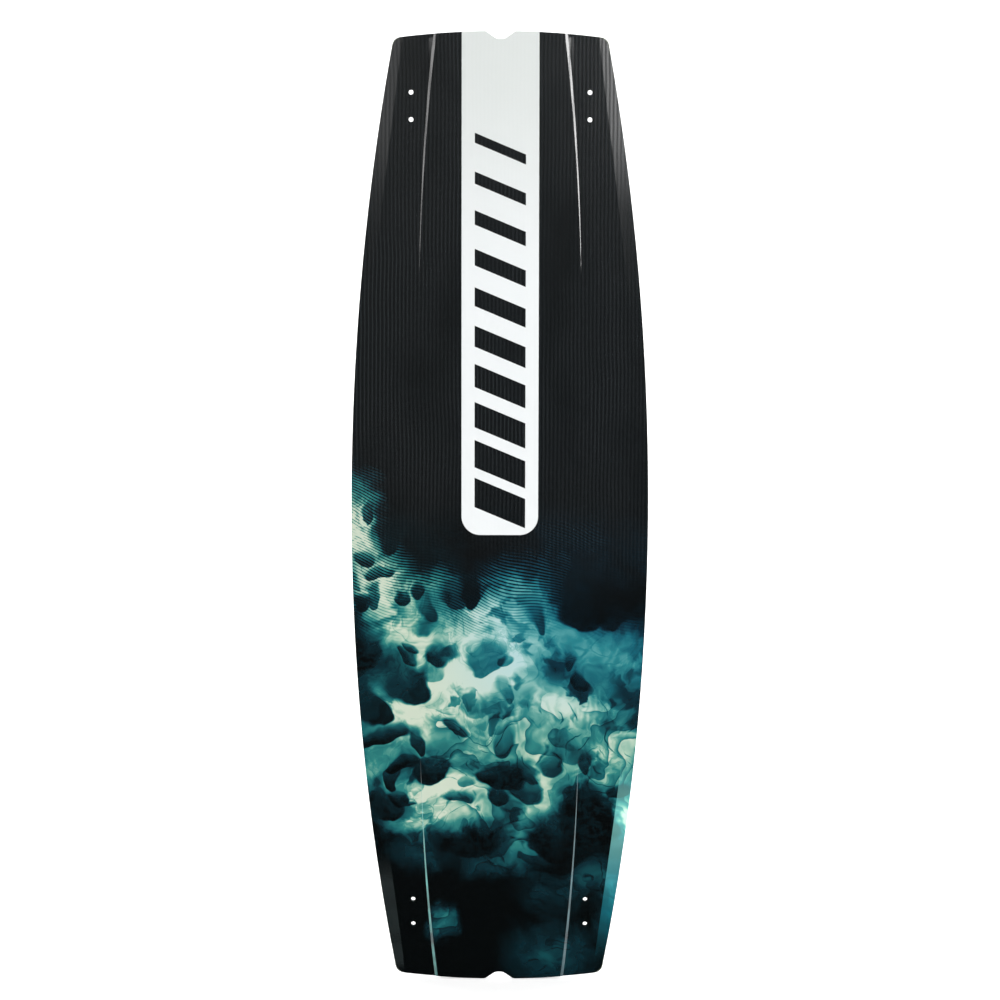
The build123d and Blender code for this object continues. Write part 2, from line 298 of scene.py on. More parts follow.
plug_plastic, tree, shader, place = new_material("machined_plug", Specular_IOR_Level=0.4)
cutter_marks = wire(tree, "TexWave", {"Vector": place, "Scale": 160.0, "Distortion": 1.5, "Detail": 1.0},
                    wave_type="RINGS", rings_direction="Y").outputs["Fac"]
cloudy = noise(tree, place, 60.0, 3.0).outputs["Fac"]
finish_surface(tree, shader, mixed(tree, cloudy, (0.035, 0.036, 0.04, 1), (0.06, 0.062, 0.067, 1)),
               calc(tree, "MULTIPLY_ADD", cutter_marks, 0.15, 0.42), cutter_marks, 0.0001)
fin_blocks = ["fin_block_" + where for where in ("nose_left", "nose_right", "tail_left", "tail_right")]
dress(fin_blocks, plug_plastic)


# ---------------------------------------------------------------- threaded inserts
# Turned stainless inserts with a blind M6 thread, bedded in resin, their mouths just under the deck.
turned_steel, tree, shader, place = new_material("turned_steel", Metallic=1.0)
turning = noise(tree, stretched(tree, place, 1.0, 9.0, 1.0), 700.0, 2.0).outputs["Fac"]
stain = noise(tree, place, 90.0, 3.0).outputs["Fac"]
finish_surface(tree, shader, mixed(tree, stain, (0.50, 0.49, 0.46, 1), (0.68, 0.67, 0.64, 1)),
               calc(tree, "MULTIPLY_ADD", turning, 0.25, 0.2), turning, 0.00005)
dress(["pad_inserts_front", "pad_inserts_rear", "handle_inserts"], turned_steel)


# ---------------------------------------------------------------- rails
# Black ABS strips round the core: one down each side and a wider piece across each tip. They are
# milled flush with the laminates, so their outer face shows fine sanding marks along the board.
rail_plastic, tree, shader, place = new_material("rail_plastic", Specular_IOR_Level=0.4)
sanding = noise(tree, stretched(tree, place, 1.0, 1.0, 0.03), 2200.0, 2.0).outputs["Fac"]
scuffs = noise(tree, place, 45.0, 5.0, 0.65).outputs["Fac"]
worn = between(tree, scuffs, 0.58, 0.72)
rail_colour = mixed(tree, worn, (0.012, 0.013, 0.014, 1), (0.035, 0.036, 0.038, 1))
rail_rough = calc(tree, "MULTIPLY_ADD", sanding, 0.25, calc(tree, "MULTIPLY_ADD", worn, 0.12, 0.33))
finish_surface(tree, shader, rail_colour, rail_rough, sanding, 0.00008)
dress(["rail_left", "rail_right", "nose_tip_rail", "tail_tip_rail"], rail_plastic)


# ---------------------------------------------------------------- laminates
# Glass cloth wetted out in epoxy, above and below the core. Only their cut edges show, as two fine
# greenish lines round the rail.
laminate, tree, shader, place = new_material("glass_laminate", Specular_IOR_Level=0.5)
warp_threads = wire(tree, "TexWave", {"Vector": place, "Scale": 320.0}, bands_direction="X").outputs["Fac"]
weft_threads = wire(tree, "TexWave", {"Vector": place, "Scale": 320.0}, bands_direction="Z").outputs["Fac"]
weave = calc(tree, "MULTIPLY", warp_threads, weft_threads)
resin = noise(tree, place, 40.0, 3.0).outputs["Fac"]
cloth_colour = mixed(tree, weave, (0.10, 0.115, 0.085, 1), (0.20, 0.22, 0.17, 1))
cloth_colour = mixed(tree, calc(tree, "MULTIPLY", resin, 0.4), cloth_colour, (0.06, 0.07, 0.05, 1))
finish_surface(tree, shader, cloth_colour, calc(tree, "MULTIPLY_ADD", weave, 0.2, 0.25), weave, 0.00005)
dress(["lower_laminate", "upper_laminate"], laminate)


# ---------------------------------------------------------------- base sheet
# A half-millimetre printed plastic sheet: the running surface. Beside each tip it steps back over a
# sloped facet to a shelf for the fins, and a shallow bevel runs down each side. Fin holes go through.
SHEET_THICKNESS = 0.0005
HALF_LENGTH = 0.725
HALF_MID_WIDTH = board_high[0]
HALF_TIP_WIDTH = 0.1588
END_CROWN = 0.0103
TIP_CORNER = HALF_LENGTH - END_CROWN
CORNER_RADIUS = 0.014
NOTCH_MOUTH = 0.0223
NOTCH_FLOOR = 0.0058
NOTCH_DEPTH = 0.0116
ROCKER = 0.038
SHELF_DEPTH = 0.0028
SHELF_LENGTH = 0.375
CREASE_INSET_TIP = 0.062
CREASE_INSET_FADE = 0.087
FACET_WIDTH = 0.0045
FIN_FROM_TIP = 0.110
FIN_PITCH = 0.040
FIN_INSET = 0.0429
FIN_HOLE_RADIUS = 0.0035


def arc_height(along, half_chord, height):
    """How far a circular arc has risen at along, when it rises by height at half_chord."""
    radius = (half_chord ** 2 + height ** 2) / (2 * height)
    return radius - sqrt(radius ** 2 - along ** 2)


def half_width_at(z):
    return HALF_MID_WIDTH - arc_height(z, TIP_CORNER, HALF_MID_WIDTH - HALF_TIP_WIDTH)


def eased(share, soft):
    """0 below 0 and 1 above 1, straight between, with the two corners rounded over soft."""
    if share <= -soft:
        return 0.0
    if share < soft:
        return (share + soft) ** 2 / (4 * soft)
    if share <= 1 - soft:
        return share
    if share < 1 + soft:
        return 1 - (1 + soft - share) ** 2 / (4 * soft)
    return 1.0


def notch_drop(x):
    return NOTCH_DEPTH * eased((NOTCH_MOUTH - abs(x)) / (NOTCH_MOUTH - NOTCH_FLOOR), 0.18)


def crease_at(z):
    """Distance of the crease from the centre line, and how wide and deep the facet beside it is."""
    along = (HALF_LENGTH - abs(z)) / SHELF_LENGTH
    inset = CREASE_INSET_TIP + (CREASE_INSET_FADE - CREASE_INSET_TIP) * along
    depth = SHELF_DEPTH * max(0.0, 1 - along)
    return half_width_at(z) - inset, FACET_WIDTH * depth / SHELF_DEPTH, depth


def chine_at(z):
    """Width and drop of the bevel along the running surface's edge."""
    share = (abs(z) / HALF_LENGTH) ** 2
    width = 0.015 - 0.003 * share + 4 * share * (1 - share) * 0.0065
    return width, 0.0015 - 0.0009 * share


def base_y(x, z):
    """Height of the running surface towards the deck, from its own middle."""
    crease, facet, depth = crease_at(z)
    width, drop = chine_at(z)
    y = arc_height(z, HALF_LENGTH, ROCKER)
    if facet > 0:
        y += depth * min(1.0, max(0.0, (abs(x) - crease) / facet))
    start = half_width_at(z) - width
    return y + drop * max(0.0, (abs(x) - start) / width)


def half_columns(z, edge):
    """Distances from the centre line of the mesh's columns at one height, on one side."""
    crease, facet, depth = crease_at(z)
    facet = max(facet, 0.0006)
    start = half_width_at(z) - chine_at(z)[0]
    columns = [0.0026 * step for step in range(1, 12)]
    last = columns[-1]
    columns += [last + (crease - 0.001 - last) * step / 5 for step in range(1, 6)]
    columns += [crease, crease + facet / 2, crease + facet]
    foot = columns[-1] + 0.001
    columns += [foot + (start - 0.001 - foot) * step / 5 for step in range(6)]
    columns += [start, start + 0.001]
    last = columns[-1]
    regular = half_width_at(z)
    columns += [last + (regular - last) * step / 4 for step in range(1, 5)]
    return [x if x <= foot else foot + (x - foot) * (edge - foot) / (regular - foot) for x in columns]


def tip_rows():
    """Distances of the mesh's rows from a tip, from its edge to the board's middle."""
    rows = [CORNER_RADIUS * (1 - cos(radians(10 * step))) for step in range(10)]
    while rows[-1] < 0.06:
        rows.append(rows[-1] + 0.005)
    count = 52
    last = rows[-1]
    return rows + [last + (HALF_LENGTH - last) * step / count for step in range(1, count + 1)]


def board_point(column, row_from_tip, end):
    """Where a mesh vertex goes, seen flat: column counts from the centre line, negative on the left."""
    inner_z = HALF_LENGTH - row_from_tip
    edge = half_width_at(inner_z)
    if row_from_tip < CORNER_RADIUS:
        edge -= CORNER_RADIUS - sqrt(CORNER_RADIUS ** 2 - (CORNER_RADIUS - row_from_tip) ** 2)
    x = half_columns(inner_z, edge)[abs(column) - 1] if column else 0.0
    fade = max(0.0, 1 - row_from_tip / 0.07) ** 2
    crown = arc_height(x, HALF_TIP_WIDTH, END_CROWN)
    z = inner_z - fade * (crown + notch_drop(x))
    return (x if column > 0 else -x), z * end


def flat_board():
    """The outline as a flat mesh of even quads whose columns follow the creases."""
    rows = tip_rows()
    heights = [(row, -1) for row in rows] + [(row, 1) for row in reversed(rows[:-1])]
    side_columns = len(half_columns(0.0, HALF_MID_WIDTH))
    board = bmesh.new()
    across, along = 2 * side_columns, len(heights) - 1
    bmesh.ops.create_grid(board, x_segments=across, y_segments=along, size=1.0)
    for vertex in board.verts:
        column = round((vertex.co.x + 1) / 2 * across) - side_columns
        row, end = heights[round((vertex.co.y + 1) / 2 * along)]
        x, z = board_point(column, row, end)
        vertex.co = (x, 0.0, z)
    return board


def cut_hole(board, x, z, radius):
    """Cuts a square round the hole's centre out of the flat mesh and fills it again up to a round edge."""
    reach = radius * 1.9
    for normal, offset in (((1, 0, 0), x - reach), ((1, 0, 0), x + reach), ((0, 0, 1), z - reach),
                           ((0, 0, 1), z + reach)):
        near = [f for f in board.faces if abs(f.calc_center_median().x - x) < 0.03
                and abs(f.calc_center_median().z - z) < 0.03]
        parts = set(near)
        for face in near:
            parts.update(face.edges)
            parts.update(face.verts)
        point = (offset, 0, 0) if normal[0] else (0, 0, offset)
        bmesh.ops.bisect_plane(board, geom=list(parts), plane_co=point, plane_no=normal, dist=1e-7)
    inside = [f for f in board.faces if abs(f.calc_center_median().x - x) < reach
              and abs(f.calc_center_median().z - z) < reach]
    bmesh.ops.delete(board, geom=inside, context="FACES")
    rim = [e for e in board.edges if e.is_boundary
           and max(abs(v.co.x - x) for v in e.verts) < reach * 1.01
           and max(abs(v.co.z - z) for v in e.verts) < reach * 1.01]
    turn = Matrix.Translation((x, 0, z)) @ Matrix.Rotation(pi / 2, 4, "X")
    ring = bmesh.ops.create_circle(board, segments=32, radius=radius, matrix=turn)["verts"]
    ring_edges = list({edge for vertex in ring for edge in vertex.link_edges})
    bmesh.ops.triangle_fill(board, use_beauty=True, edges=rim + ring_edges)


def shell_piece(name, board, outer_y, thickness):
    """Lifts a flat board mesh to the height outer_y(x, z), gives it its thickness and makes the piece."""
    for vertex in board.verts:
        vertex.co.y = base_at_middle.y + outer_y(vertex.co.x, vertex.co.z)
        vertex.co.z += middle_height
    grown = bmesh.ops.extrude_face_region(board, geom=list(board.faces))["geom"]
    inner = [part for part in grown if isinstance(part, bmesh.types.BMVert)]
    bmesh.ops.translate(board, verts=inner, vec=(0, thickness, 0))
    bmesh.ops.recalc_face_normals(board, faces=board.faces)
    for face in board.faces:
        face.smooth = True
    for edge in board.edges:
        if edge.is_manifold and edge.calc_face_angle() > radians(12):
            edge.smooth = False
    mesh = bpy.data.meshes.new(name)
    board.to_mesh(mesh)
    board.free()
    return link(name, mesh)


fin_z = HALF_LENGTH - FIN_FROM_TIP
fin_x = half_width_at(fin_z) - FIN_INSET
fin_holes = [(side * fin_x, end * fin_z + step * FIN_PITCH / 2, FIN_HOLE_RADIUS)
             for side in (-1, 1) for end in (-1, 1) for step in (-1, 1)]

base_mesh = flat_board()
for hole in fin_holes:
    cut_hole(base_mesh, *hole)
base_sheet = shell_piece("printed_base", base_mesh, base_y, SHEET_THICKNESS)
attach(base_sheet, "root")
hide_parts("base_sheet")

# The print. Ink hangs in bright water: pools of light, dark clots with soft tops and crisp undersides,
# thin threads and hanging veils. It fades up into the black field through a screen of fine lines.
def chained(tree, light, given, made):
    """Hands on the light and the place. The place takes a hair of the light with it, so a long row of
    these groups is worked out one after another, which keeps the shader small enough to compile."""
    hair = wire(tree, "VectorMath", {0: light, 1: (1e-7, 1e-7, 0), 2: given["Place"]},
                operation="MULTIPLY_ADD")
    tree.links.new(hair.outputs[0], made["Place"])
    tree.links.new(light, made["Light"])


glow_group, given, made = new_group(
    "ink_glow",
    {"Place": ("Vector", None), "Centre": ("Vector", None), "Size": ("Vector", None),
     "Strength": ("Float", 1.0), "Light": ("Float", 0.0)},
    {"Place": "Vector", "Light": "Float"},
)
tree = glow_group
away = wire(tree, "VectorMath", {0: given["Place"], 1: given["Centre"]}, operation="SUBTRACT").outputs[0]
away = wire(tree, "VectorMath", {0: away, 1: given["Size"]}, operation="DIVIDE").outputs[0]
away = wire(tree, "VectorMath", {0: away}, operation="LENGTH").outputs["Value"]
dark = calc(tree, "SUBTRACT", 1.0, calc(tree, "MULTIPLY", between(tree, away, 1.0, 0.1), given["Strength"]))
dark = calc(tree, "MULTIPLY", dark, calc(tree, "SUBTRACT", 1.0, given["Light"]))
chained(tree, calc(tree, "SUBTRACT", 1.0, dark), given, made)

clot_group, given, made = new_group(
    "ink_clot",
    {"Place": ("Vector", None), "Centre": ("Vector", None), "Size": ("Vector", None), "Turn": ("Float", 0.0),
     "Fade": ("Float", 0.2), "Depth": ("Float", 1.0), "Light": ("Float", 0.0)},
    {"Place": "Vector", "Light": "Float"},
)
tree = clot_group
away = wire(tree, "VectorMath", {0: given["Place"], 1: given["Centre"]}, operation="SUBTRACT").outputs[0]
away = wire(tree, "VectorRotate", {"Vector": away, "Angle": given["Turn"]}, rotation_type="Z_AXIS").outputs[0]
away = wire(tree, "VectorMath", {0: away, 1: given["Size"]}, operation="DIVIDE").outputs[0]
up = wire(tree, "SeparateXYZ", {0: away}).outputs["Y"]
away = wire(tree, "VectorMath", {0: away}, operation="LENGTH").outputs["Value"]
soft = calc(tree, "MULTIPLY_ADD", calc(tree, "ADD", up, 0.9), given["Fade"], 0.06)
soft = calc(tree, "MAXIMUM", soft, 0.05)
body = between(tree, away, calc(tree, "ADD", 1.0, soft), calc(tree, "SUBTRACT", 1.0, soft))
shade = wire(tree, "MapRange", {"Value": up, "From Min": 1.0, "From Max": -0.4, "To Min": 0.5,
                                "To Max": 1.0}).outputs[0]
shade = calc(tree, "MULTIPLY", calc(tree, "MULTIPLY", shade, given["Depth"]), body)
chained(tree, calc(tree, "MULTIPLY", given["Light"], calc(tree, "SUBTRACT", 1.0, shade)), given, made)


def product(tree, first, *others):
    for other in others:
        first = calc(tree, "MULTIPLY", first, other)
    return first


def darkened(tree, light, mask, depth):
    """Takes depth, a share of the light, away where the mask is 1."""
    return calc(tree, "MULTIPLY", light, calc(tree, "MULTIPLY_ADD", mask, -depth, 1.0))


def blended(tree, how, first, second):
    """Two colours added or multiplied."""
    return wire(tree, "Mix", {0: 1.0, 6: first, 7: second}, data_type="RGBA", blend_type=how).outputs[2]


def shifted(tree, place, by, amount):
    """Moves the place by a noise colour, so that a pattern read there is drawn out into swirls."""
    offset = wire(tree, "VectorMath", {0: by, 1: (0.5, 0.5, 0.5)}, operation="SUBTRACT").outputs[0]
    moved = wire(tree, "VectorMath", {0: offset, 1: (amount, amount, 0)}, operation="MULTIPLY").outputs[0]
    return wire(tree, "VectorMath", {0: place, 1: moved}, operation="ADD").outputs[0]


ink_group, given, made = new_group(
    "ink_print",
    {"Place": ("Vector", None), "Brightness": ("Float", 1.0)},
    {"Color": "Color"},
)
tree = ink_group
split = wire(tree, "SeparateXYZ", {0: given["Place"]})
print_x, print_z = split.outputs["X"], split.outputs["Z"]
flat = wire(tree, "CombineXYZ", {0: print_x, 1: print_z}).outputs[0]
drift = shifted(tree, flat, noise(tree, flat, 8.0, 2.0).outputs["Color"], 0.05)
swirl = shifted(tree, drift, noise(tree, drift, 26.0, 2.0).outputs["Color"], 0.024)
wild = shifted(tree, swirl, noise(tree, swirl, 14.0, 2.0).outputs["Color"], 0.08)
ragged = shifted(tree, swirl, noise(tree, swirl, 55.0, 2.0).outputs["Color"], 0.03)

# pools of light: x, z, half width, half height, strength
light, pool_place = 0.0, ragged
for x, z, wide, tall, strength in (
    (-0.222, 0.715, 0.060, 0.115, 1.0), (-0.190, 0.635, 0.080, 0.080, 1.0),
    (-0.160, 0.575, 0.080, 0.070, 1.0), (-0.100, 0.540, 0.095, 0.060, 0.9),
    (-0.100, 0.600, 0.095, 0.070, 0.5), (-0.025, 0.560, 0.09, 0.055, 0.6),
    (-0.060, 0.470, 0.170, 0.090, 1.0), (0.000, 0.520, 0.090, 0.080, 0.85),
    (0.090, 0.430, 0.140, 0.065, 0.85), (-0.130, 0.425, 0.110, 0.060, 0.9),
    (-0.050, 0.385, 0.185, 0.055, 0.75), (0.025, 0.600, 0.130, 0.095, 0.5),
    (0.090, 0.530, 0.130, 0.100, 0.45), (0.190, 0.500, 0.090, 0.085, 0.4),
    (0.120, 0.360, 0.140, 0.070, 0.7), (0.195, 0.370, 0.070, 0.110, 0.50),
    (-0.185, 0.345, 0.055, 0.080, 0.5), (-0.075, 0.308, 0.120, 0.058, 1.0),
    (0.055, 0.290, 0.055, 0.110, 0.85), (0.050, 0.215, 0.065, 0.055, 0.35),
    (0.200, 0.262, 0.030, 0.060, 0.9), (0.140, 0.170, 0.055, 0.045, 0.22),
    (-0.110, 0.262, 0.090, 0.045, 0.7), (-0.125, 0.205, 0.060, 0.050, 0.16),
    (-0.020, 0.190, 0.070, 0.040, 0.16), (0.090, 0.140, 0.085, 0.050, 0.10),
    (0.080, 0.040, 0.100, 0.075, 0.20), (0.175, 0.120, 0.035, 0.090, 0.28),
    (-0.083, 0.092, 0.028, 0.042, 0.32), (-0.060, 0.268, 0.100, 0.040, 0.85),
):
    pool = use(tree, glow_group, {"Place": pool_place, "Centre": (x, z, 0), "Size": (wide, tall, 1),
                                  "Strength": strength, "Light": light})
    pool_place, light = pool["Place"], pool["Light"]

# broad changes of tone, mottling, and fine folds that hang like cloth
cloud = noise(tree, wild, 8.0, 4.0, 0.55).outputs["Fac"]
light = calc(tree, "MULTIPLY", light, calc(tree, "MULTIPLY_ADD", cloud, 2.12, 0.16))
mottle = between(tree, noise(tree, ragged, 30.0, 2.0, 0.5).outputs["Fac"], 0.62, 0.42)
patch = between(tree, noise(tree, drift, 11.0, 1.0).outputs["Fac"], 0.44, 0.62)
mottled = calc(tree, "MULTIPLY", calc(tree, "SUBTRACT", 1.0, mottle), patch)
light = darkened(tree, light, mottled, 0.6)
sheet = noise(tree, wild, 7.0, 1.0).outputs["Fac"]
fold = calc(tree, "SINE", calc(tree, "MULTIPLY", sheet, 110.0))
light = calc(tree, "MULTIPLY", light, calc(tree, "MULTIPLY_ADD", fold, 0.07, 1.0))

# small clots scattered at random, with their crisp side down
for scale, reach, share, depth in ((17.0, 0.42, 0.4, 0.7), (33.0, 0.40, 0.45, 0.5)):
    cell = wire(tree, "TexVoronoi", {"Vector": ragged, "Scale": scale, "Randomness": 0.95})
    centre = wire(tree, "VectorMath", {0: ragged, 1: cell.outputs["Position"]},
                  operation="SUBTRACT").outputs[0]
    up = calc(tree, "MULTIPLY", wire(tree, "SeparateXYZ", {0: centre}).outputs["Y"], scale / reach)
    chance = wire(tree, "SeparateXYZ", {0: cell.outputs["Color"]})
    size = calc(tree, "MULTIPLY", chance.outputs["Y"], reach)
    soft = wire(tree, "MapRange", {"Value": up, "From Min": -0.6, "From Max": 1.0, "To Min": 0.03,
                                   "To Max": 0.22}).outputs[0]
    outer, inner = calc(tree, "ADD", size, soft), calc(tree, "SUBTRACT", size, soft)
    body = between(tree, cell.outputs["Distance"], outer, inner)
    there = between(tree, chance.outputs["X"], 1.0 - share, 1.02 - share)
    light = darkened(tree, light, calc(tree, "MULTIPLY", body, there), depth)

# clots: x, z, half width, half height, turn in degrees, fade of the top, depth
clot_place = swirl
for x, z, wide, tall, turn, fade, depth in (
    (-0.206, 0.668, 0.017, 0.011, 0, 0.1, 0.8), (-0.185, 0.650, 0.028, 0.009, 10, 0.1, 0.8),
    (-0.212, 0.603, 0.012, 0.015, 0, 0.1, 0.9), (-0.193, 0.610, 0.010, 0.013, 0, 0.2, 0.7),
    (-0.150, 0.612, 0.009, 0.011, 0, 0.1, 0.9), (-0.124, 0.617, 0.013, 0.009, 0, 0.2, 0.8),
    (-0.114, 0.594, 0.013, 0.024, 15, 0.3, 0.7), (-0.063, 0.612, 0.023, 0.026, 0, 0.4, 0.75),
    (-0.044, 0.628, 0.014, 0.042, 5, 0.3, 0.98), (-0.197, 0.735, 0.010, 0.022, 0, 0.2, 0.75),
    (-0.160, 0.707, 0.018, 0.030, 10, 0.4, 0.9), (-0.212, 0.535, 0.032, 0.036, 0, 0.2, 0.98),
    (-0.142, 0.481, 0.029, 0.042, 42, 0.24, 0.95), (-0.142, 0.519, 0.020, 0.009, -30, 0.05, 0.85),
    (-0.139, 0.532, 0.014, 0.006, -20, 0.1, 0.75), (-0.091, 0.516, 0.024, 0.018, -35, 0.25, 0.88),
    (-0.096, 0.493, 0.020, 0.016, 0, 0.3, 0.55), (-0.020, 0.503, 0.027, 0.027, 0, 0.12, 0.72),
    (0.008, 0.499, 0.014, 0.011, 0, 0.1, 0.65), (-0.024, 0.443, 0.036, 0.018, 0, 0.2, 0.4),
    (0.011, 0.457, 0.011, 0.018, 20, 0.2, 0.55), (-0.190, 0.440, 0.022, 0.040, 45, 0.15, 0.97),
    (-0.180, 0.395, 0.046, 0.014, 5, 0.2, 0.98), (-0.125, 0.385, 0.010, 0.022, 15, 0.1, 0.92),
    (-0.070, 0.411, 0.023, 0.010, -30, 0.1, 0.85), (-0.085, 0.383, 0.032, 0.021, 0, 0.25, 0.5),
    (0.006, 0.384, 0.018, 0.020, 0, 0.15, 0.75), (0.110, 0.378, 0.032, 0.026, 0, 0.3, 0.5),
    (-0.100, 0.343, 0.029, 0.025, 0, 0.06, 0.99), (-0.143, 0.350, 0.023, 0.011, 20, 0.05, 0.99),
    (-0.158, 0.330, 0.011, 0.020, 0, 0.05, 0.98), (0.003, 0.325, 0.040, 0.024, 0, 0.03, 0.99),
    (0.038, 0.316, 0.022, 0.031, 0, 0.2, 0.8), (0.000, 0.292, 0.018, 0.016, 0, 0.1, 0.88),
    (-0.172, 0.285, 0.029, 0.021, -15, 0.05, 0.99), (-0.148, 0.300, 0.016, 0.014, 0, 0.05, 0.95),
    (-0.066, 0.290, 0.023, 0.012, -10, 0.2, 0.8), (-0.050, 0.312, 0.013, 0.008, 0, 0.2, 0.6),
    (-0.138, 0.290, 0.017, 0.005, 0, 0.1, 0.85), (-0.055, 0.222, 0.050, 0.022, 0, 0.3, 0.93),
    (0.100, 0.240, 0.060, 0.047, 0, 0.15, 0.98), (0.058, 0.238, 0.020, 0.030, 0, 0.3, 0.75),
    (0.147, 0.267, 0.023, 0.027, 0, 0.3, 0.75), (0.085, 0.195, 0.044, 0.021, 10, 0.2, 0.9),
    (0.079, 0.352, 0.015, 0.021, 10, 0.2, 0.8), (0.131, 0.357, 0.011, 0.022, -5, 0.2, 0.8),
    (0.185, 0.313, 0.017, 0.011, 0, 0.1, 0.88), (0.054, 0.580, 0.011, 0.030, 15, 0.4, 0.7),
    (0.128, 0.612, 0.048, 0.050, 0, 0.4, 0.96), (0.175, 0.595, 0.036, 0.036, 0, 0.4, 0.9),
    (0.104, 0.511, 0.010, 0.025, -15, 0.4, 0.75), (0.118, 0.473, 0.015, 0.014, -20, 0.15, 0.8),
    (0.195, 0.462, 0.024, 0.026, 0, 0.3, 0.45),
):
    clot = use(tree, clot_group, {"Place": clot_place, "Centre": (x, z, 0), "Size": (wide, tall, 1),
                                  "Turn": radians(-turn), "Fade": fade, "Depth": depth, "Light": light})
    clot_place, light = clot["Place"], clot["Light"]

# dark threads in bundles, where the ink is being drawn out in the lower half
level = noise(tree, swirl, 9.0, 1.0, 0.4).outputs["Fac"]
strand = calc(tree, "FRACT", calc(tree, "MULTIPLY", level, 15.0))
strand = calc(tree, "ABSOLUTE", calc(tree, "SUBTRACT", strand, 0.5))
thread = between(tree, strand, 0.11, 0.0)
bundle = between(tree, noise(tree, swirl, 24.0, 3.0).outputs["Fac"], 0.46, 0.60)
zone = calc(tree, "MULTIPLY", between(tree, print_z, 0.46, 0.41), between(tree, print_x, -0.12, -0.02))
thread = product(tree, thread, bundle, calc(tree, "MULTIPLY_ADD", zone, 0.75, 0.25))
light = darkened(tree, light, thread, 0.70)

# veils of ink that hang in the threads' zone, each with one crisp dark edge that fades off to one side
hang = noise(tree, swirl, 11.0, 2.0, 0.4).outputs["Fac"]
saw = calc(tree, "FRACT", calc(tree, "MULTIPLY", hang, 9.0))
veil_fade = calc(tree, "POWER", calc(tree, "SUBTRACT", 1.0, saw), 2.2)
gather = between(tree, noise(tree, drift, 7.0, 1.0).outputs["Fac"], 0.36, 0.52)
veil_zone = calc(tree, "MULTIPLY", between(tree, print_z, 0.47, 0.41), between(tree, print_x, -0.16, -0.08))
veil_zone = calc(tree, "MULTIPLY_ADD", veil_zone, 0.8, 0.2)
veil = product(tree, between(tree, saw, 0.0, 0.035), veil_fade, gather, veil_zone)
light = darkened(tree, light, veil, 0.63)

# thin rims and creases inside the clots and the clear pools alike
crinkle = noise(tree, ragged, 42.0, 3.0, 0.6).outputs["Fac"]
ridge = between(tree, calc(tree, "ABSOLUTE", calc(tree, "SUBTRACT", crinkle, 0.5)), 0.09, 0.0)
near = between(tree, noise(tree, drift, 9.0, 1.0).outputs["Fac"], 0.40, 0.60)
light = darkened(tree, light, calc(tree, "MULTIPLY", ridge, near), 0.22)
inked = calc(tree, "MULTIPLY", between(tree, print_z, 0.62, 0.52), between(tree, print_z, 0.16, 0.26))
light = calc(tree, "MULTIPLY_ADD", calc(tree, "MULTIPLY", ridge, inked), 0.045, light)

# the screen of lines
SCREEN_PITCH = 0.0046
sag = calc(tree, "SINE", calc(tree, "MULTIPLY_ADD", print_x, 37.0, 1.57))
along = calc(tree, "MULTIPLY_ADD", sag, 0.006, calc(tree, "MULTIPLY_ADD", print_x, 0.3, print_z))
along = calc(tree, "MULTIPLY_ADD", noise(tree, flat, 8.0, 1.0).outputs["Fac"], 0.03, along)
wave = calc(tree, "SINE", calc(tree, "MULTIPLY", along, 2 * pi / SCREEN_PITCH))
wave = calc(tree, "MULTIPLY_ADD", wave, 0.5, 0.5)
uneven = noise(tree, flat, 12.0, 2.0).outputs["Fac"]
zone = between(tree, calc(tree, "MULTIPLY_ADD", uneven, 0.16, print_z), 0.62, 0.72)
lit = between(tree, calc(tree, "MULTIPLY_ADD", light, 0.7, wave), 0.30, 1.05)
light = calc(tree, "MULTIPLY", light, calc(tree, "MULTIPLY_ADD", calc(tree, "SUBTRACT", lit, 1.0), zone, 1.0))
lower = between(tree, print_z, 0.76, 0.68)
faint = product(tree, zone, lower, between(tree, cloud, 0.35, 0.65), wave)
light = calc(tree, "MULTIPLY_ADD", faint, 0.07, light)
light = calc(tree, "MULTIPLY", light, given["Brightness"])

ramp = tree.nodes.new("ShaderNodeValToRGB")
shades = ((0.0, (0.0006, 0.0012, 0.0014)), (0.16, (0.0012, 0.022, 0.034)), (0.34, (0.0045, 0.098, 0.120)),
          (0.52, (0.020, 0.190, 0.190)), (0.70, (0.105, 0.315, 0.275)), (0.86, (0.315, 0.475, 0.40)),
          (1.0, (0.49, 0.58, 0.51)))
for position, colour in shades[1:-1]:
    ramp.color_ramp.elements.new(position)
for element, (position, colour) in zip(ramp.color_ramp.elements, shades):
    element.position = position
    element.color = (*colour, 1)
tree.links.new(light, ramp.inputs[0])
blue = calc(tree, "MULTIPLY", between(tree, print_z, 0.35, 0.55), between(tree, print_x, -0.14, 0.04))
tint = mixed(tree, blue, (1.04, 1.0, 0.92, 1), (0.75, 0.96, 1.12, 1))
tree.links.new(blended(tree, "MULTIPLY", ramp.outputs[0], tint), made["Color"])

# the base's material: the print, plus painted highlights on the sloped facets and side bevels by the tail
base_print, tree, shader, place = new_material("base_print", Specular_IOR_Level=0.5)
ink = use(tree, ink_group, {"Place": place})
split = wire(tree, "SeparateXYZ", {0: place})
x, z = split.outputs["X"], split.outputs["Z"]

